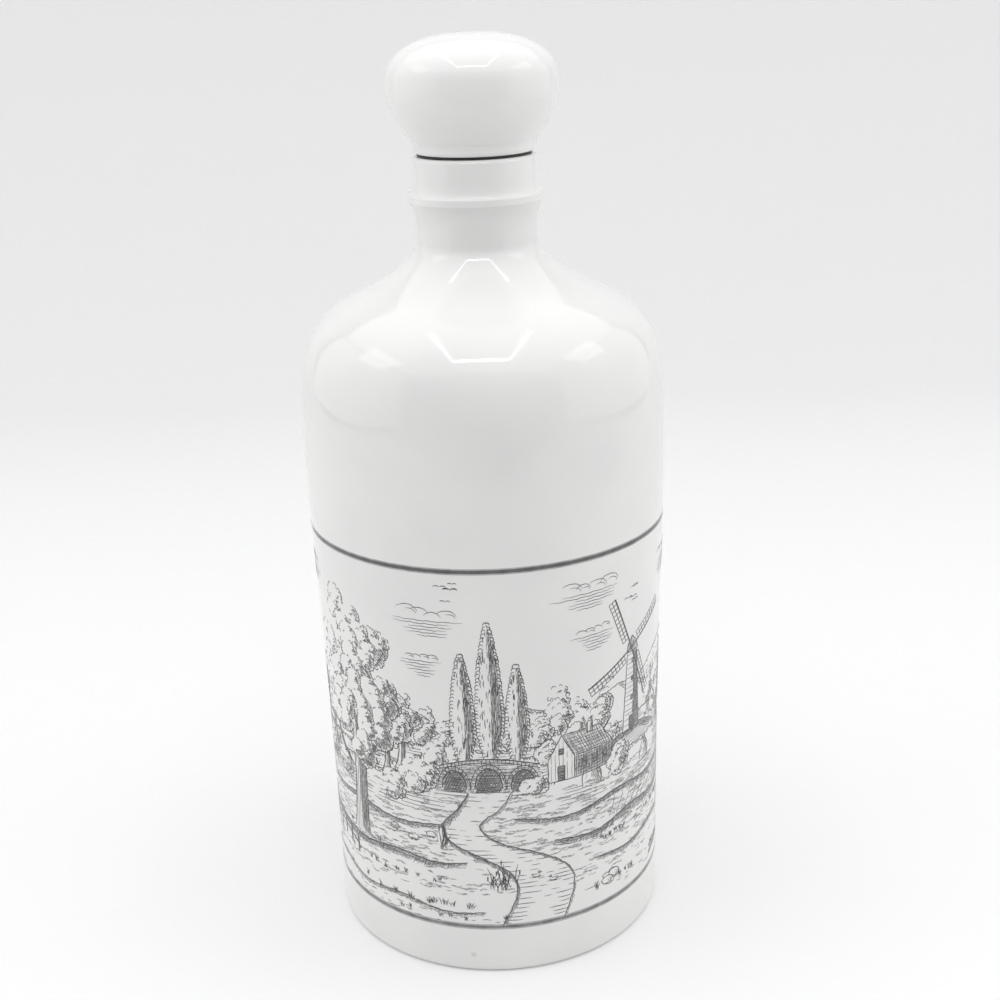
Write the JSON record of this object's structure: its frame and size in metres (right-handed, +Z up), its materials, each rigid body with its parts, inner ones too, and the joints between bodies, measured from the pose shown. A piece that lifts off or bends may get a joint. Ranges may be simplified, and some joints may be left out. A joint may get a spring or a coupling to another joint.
{
  "type": "decanter",
  "caption": "Round-shouldered porcelain decanter with a collared neck and a hollow knob stopper held by a ribbed rubber seal.",
  "frame": {"origin": "centre of the foot ring, on the surface the decanter stands on", "axes": "+Z up along the axis of the bottle and its stopper; -Y is the side that faces the viewer"},
  "size_m": [0.0888, 0.0888, 0.2229],
  "materials": {
    "bottle_glaze": "clear glossy glaze on white porcelain, bare on the foot ring, with a fired grey print round the body",
    "seal_rubber": "dark grey matt rubber",
    "knob_glaze": "clear glossy glaze on white porcelain"
  },
  "bodies": {
    "bottle": {"bottle": "bottle_glaze"},
    "seal": {"stopper_seal": "seal_rubber"},
    "stopper": {"stopper_knob": "knob_glaze"}
  },
  "joints": [
    {"name": "stopper_lift", "type": "slide", "parent": "bottle", "child": "seal", "axis": [0, 0, 1], "range_m": [0, 0.045]},
    {"name": "knob_turn", "type": "hinge", "parent": "seal", "child": "stopper", "pos_m": [0, 0, 0.1964], "axis": [0, 0, 1], "continuous": true}
  ]
}
